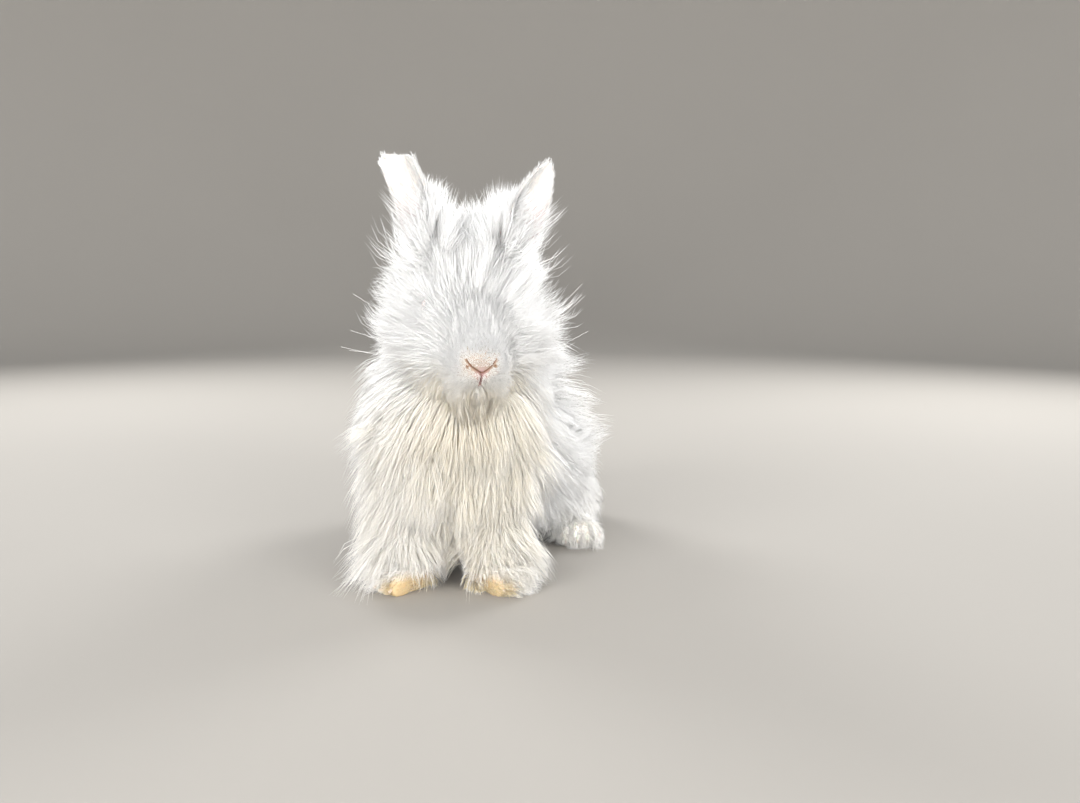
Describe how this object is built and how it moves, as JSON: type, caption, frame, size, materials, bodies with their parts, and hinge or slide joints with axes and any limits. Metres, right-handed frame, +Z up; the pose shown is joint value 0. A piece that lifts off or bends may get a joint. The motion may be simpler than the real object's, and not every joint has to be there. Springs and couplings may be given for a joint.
{
  "type": "angora rabbit",
  "caption": "Young angora rabbit standing on all fours with its head up and ears raised, its body, neck and legs covered in long overlapping locks of wool.",
  "frame": {"origin": "centre of the bounding box in plan, at the level of the floor under the paws", "axes": "+Z up, the rabbit faces -Y, +X to the rabbit's left"},
  "size_m": [0.13, 0.2163, 0.2061],
  "materials": {
    "angora_wool": "soft matt wool",
    "paw_fur": "short fur, stained yellow",
    "ear_fur": "short fur over thin pink skin",
    "eye": "wet gloss"
  },
  "bodies": {
    "root": {"head": "angora_wool", "neck": "angora_wool", "torso": "angora_wool", "tail": "angora_wool", "ear_left": "ear_fur", "ear_right": "ear_fur", "eye_left": "eye", "eye_right": "eye", "fore_leg_left": "angora_wool", "fore_leg_right": "angora_wool", "hind_leg_left": "angora_wool", "hind_leg_right": "angora_wool", "fore_foot_left": "paw_fur", "fore_foot_right": "paw_fur", "hind_foot_left": "angora_wool", "hind_foot_right": "angora_wool"}
  },
  "joints": []
}
